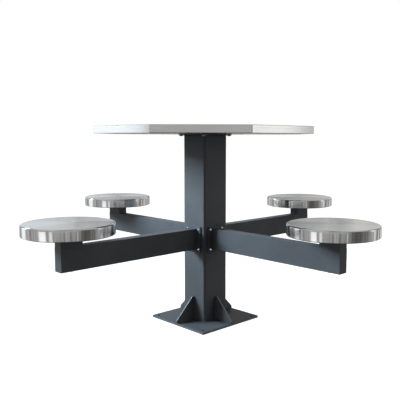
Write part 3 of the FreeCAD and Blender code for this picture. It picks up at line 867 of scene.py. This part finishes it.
def makeWorld():
    world = bpy.data.worlds.new("studio")
    scene.world = world
    world.use_nodes = True
    tree = world.node_tree
    path = place(tree, "ShaderNodeLightPath").outputs
    shiny = calc(tree, "MAXIMUM", path["Is Glossy Ray"], path["Is Transmission Ray"])
    axes = axesOf(tree, place(tree, "ShaderNodeTexCoord").outputs["Generated"])
    steps = [((up + 1) / 2, level) for up, level in sky["levels"]]
    level = levelRamp(tree, span(tree, axes[2], -1.0, 1.0, 0.0, 1.0), steps)
    share = compassRamp(tree, axes, sky["around"])
    soft = mixColour(tree, calc(tree, "MULTIPLY", level, share), black, sky["tint"])
    ground = span(tree, axes[2], sky["groundTo"], sky["groundFrom"], sky["groundLevel"], 1.0)
    mirrored = calc(tree, "MULTIPLY", compassRamp(tree, axes, sky["mirrored"]), ground)
    seen = mixColour(tree, shiny, soft, mixColour(tree, mirrored, black, white))
    backdrop = mixColour(tree, path["Is Camera Ray"], seen, white)
    feed(tree, tree.nodes["Background"].inputs["Color"], backdrop)


daylight = {"power": 188, "tint": (0.74, 0.88, 1.0), "place": (-2.1, -1.53, 1.88), "size": (2.0, 1.25),
            "spread": 100}


def makeDaylight():
    data = bpy.data.lights.new("daylight", "AREA")
    data.shape = "RECTANGLE"
    data.size, data.size_y = daylight["size"]
    data.spread = radians(daylight["spread"])
    data.energy = daylight["power"]
    data.color = daylight["tint"]
    lamp = bpy.data.objects.new("daylight", data)
    lamp.location = daylight["place"]
    level = Vector((-lamp.location.x, -lamp.location.y, 0))  # untilted, so its light fades downwards
    lamp.rotation_euler = level.to_track_quat("-Z", "Y").to_euler()
    lamp.visible_glossy = False  # reflections show the screen's panes in its place
    scene.collection.objects.link(lamp)


floorLook = {"size": 60, "glow": 0.95, "dark": (0.38, 0.38, 0.38, 1), "pale": (0.42, 0.42, 0.42, 1),
             "grainsPerMetre": 40.0, "roughness": 0.9, "gloss": 0.1}


def makeFloor():
    half = floorLook["size"] / 2
    corners = [(-half, -half, 0), (half, -half, 0), (half, half, 0), (-half, half, 0)]
    mesh = bpy.data.meshes.new("floor")
    mesh.from_pydata(corners, [], [(0, 1, 2, 3)])
    sockets = {"Roughness": floorLook["roughness"], "Specular_IOR_Level": floorLook["gloss"],
               "Emission_Color": white}
    material, tree, shader = startMaterial("paleFloor", **sockets)
    path = place(tree, "ShaderNodeLightPath").outputs
    paper = noise(tree, objectPlace(tree), floorLook["grainsPerMetre"], detail=3.0)
    feed(tree, shader.inputs["Base Color"], mixColour(tree, paper, floorLook["dark"], floorLook["pale"]))
    glow = calc(tree, "MULTIPLY", path["Is Camera Ray"], floorLook["glow"])
    feed(tree, shader.inputs["Emission Strength"], glow)
    mesh.materials.append(material)
    floor = bpy.data.objects.new("floor", mesh)
    floor.visible_glossy = False  # reflections show the screen and the dark ground instead
    floor.visible_diffuse = False  # light from below is the sky's own
    scene.collection.objects.link(floor)


# levels are (compass degrees, brightness) of the walls, which fine noise breaks into strips
# panes are (compass degrees, half width, blur, brightness, low, high, tint), the later over the earlier
screen = {"radius": 3.4, "height": 3.4, "segments": 96, "fine": 17.0, "fineDepth": 0.8, "fineRoughness": 0.65,
          "paneBlur": 0.03,
          "levels": ((-180, 0.58), (-130, 0.42), (-115, 0.38), (-68, 0.43), (-30, 0.34), (-14, 0.25),
                     (-4, 0.12), (7, 0.1), (14, 0.2), (27, 0.25), (38, 0.4), (60, 0.27), (72, 0.4),
                     (100, 0.55), (180, 0.58)),
          "panes": ((-168, 4, 2, 8, 2.2, 2.8, "white"), (-147, 9, 2.2, 1.3, -4, 0.45, "cool"),
                    (-91.5, 7.5, 1.9, 1.5, -4, 0.45, "cool"), (-74, 3, 0.8, 1.1, -4, 0.45, "cool"),
                    (-19, 1.2, 0.3, 0.7, -4, 0.45, "cool"), (49, 4.5, 1.1, 0.85, -4, 0.45, "cool"),
                    (65, 2.5, 0.6, 0.8, -4, 0.45, "cool"), (82, 6, 1.5, 0.75, -4, 0.45, "cool"),
                    (-146.5, 10.3, 0.4, 1.6, 0.45, 2, "blue"), (-47, 30, 6, 0.59, 0.45, 2, "white"),
                    (42.5, 6, 1.5, 1.45, 0.45, 2, "white"), (54, 5, 1.5, 0.65, 0.45, 2, "warm"),
                    (137, 30, 4, 0.7, 0.45, 0.75, "white"), (136, 50, 4, 0.8, 1.25, 3.4, "cool"),
                    (136, 18, 6, 0.25, 0.77, 1.45, "cool"), (155, 8, 3, 1.0, 0.77, 0.9, "blue"),
                    (171, 11, 3, 0.85, 0.77, 1.25, "blue"), (163, 3, 1.5, 0.9, 1.1, 1.45, "blue"),
                    (100, 9, 3, 0.65, 0.77, 1.25, "white"), (0, 200, 1, 0.1, -4, -1.6, "white")),
          "tints": {"warm": (1.0, 0.975, 0.945), "white": (1.0, 1.0, 0.995), "cool": (0.97, 0.985, 1.0),
                    "blue": (0.88, 0.95, 1.0)}}


def makeScreenMaterial():
    sockets = {"Base_Color": black, "Specular_IOR_Level": 0.0, "Emission_Strength": 1.0}
    material, tree, shader = startMaterial("surroundings", **sockets)
    axes = axesOf(tree, objectPlace(tree))
    flat = vectorOf(tree, axes[0], axes[1])
    fineScale = screen["fine"] / screen["radius"]
    fine = noise(tree, flat, fineScale, detail=3.0, roughness=screen["fineRoughness"])
    uneven = spread(tree, fine, 1 - screen["fineDepth"], 1 + screen["fineDepth"])
    walls = calc(tree, "MULTIPLY", compassRamp(tree, axes, screen["levels"]), uneven)
    glow = mixColour(tree, walls, black, (*screen["tints"]["warm"], 1))
    bearing = compass(tree, axes)
    for middle, half, blur, brightness, low, high, tint in screen["panes"]:
        away = calc(tree, "ABSOLUTE", calc(tree, "SUBTRACT", bearing, float(middle)))
        beside = span(tree, away, half - blur, half + blur, 1.0, 0.0)
        rise = calc(tree, "ABSOLUTE", calc(tree, "SUBTRACT", axes[2], (low + high) / 2))
        tall = (high - low) / 2
        within = span(tree, rise, tall - screen["paneBlur"], tall + screen["paneBlur"], 1.0, 0.0)
        pane = [channel * brightness for channel in screen["tints"][tint]]
        glow = mixColour(tree, calc(tree, "MULTIPLY", beside, within), glow, (*pane, 1))
    feed(tree, shader.inputs["Emission Color"], glow)
    return material


def makeScreen():  # only reflections show it
    around = [fullTurn * i / screen["segments"] for i in range(screen["segments"])]
    ring = [(screen["radius"] * cos(turn), screen["radius"] * sin(turn)) for turn in around]
    count = len(ring)
    points = [(x, y, z) for z in (-screen["height"], screen["height"]) for x, y in ring]
    faces = [(i, i + count, (i + 1) % count + count, (i + 1) % count) for i in range(count)]
    mesh = bpy.data.meshes.new("surroundings")
    mesh.from_pydata(points, [], faces)
    mesh.materials.append(makeScreenMaterial())
    wall = bpy.data.objects.new("surroundings", mesh)
    wall.visible_camera = False
    wall.visible_diffuse = False
    wall.visible_shadow = False
    scene.collection.objects.link(wall)


makeWorld()
makeDaylight()
makeFloor()
makeScreen()
scene.view_settings.view_transform = "Standard"
print("studio lit")
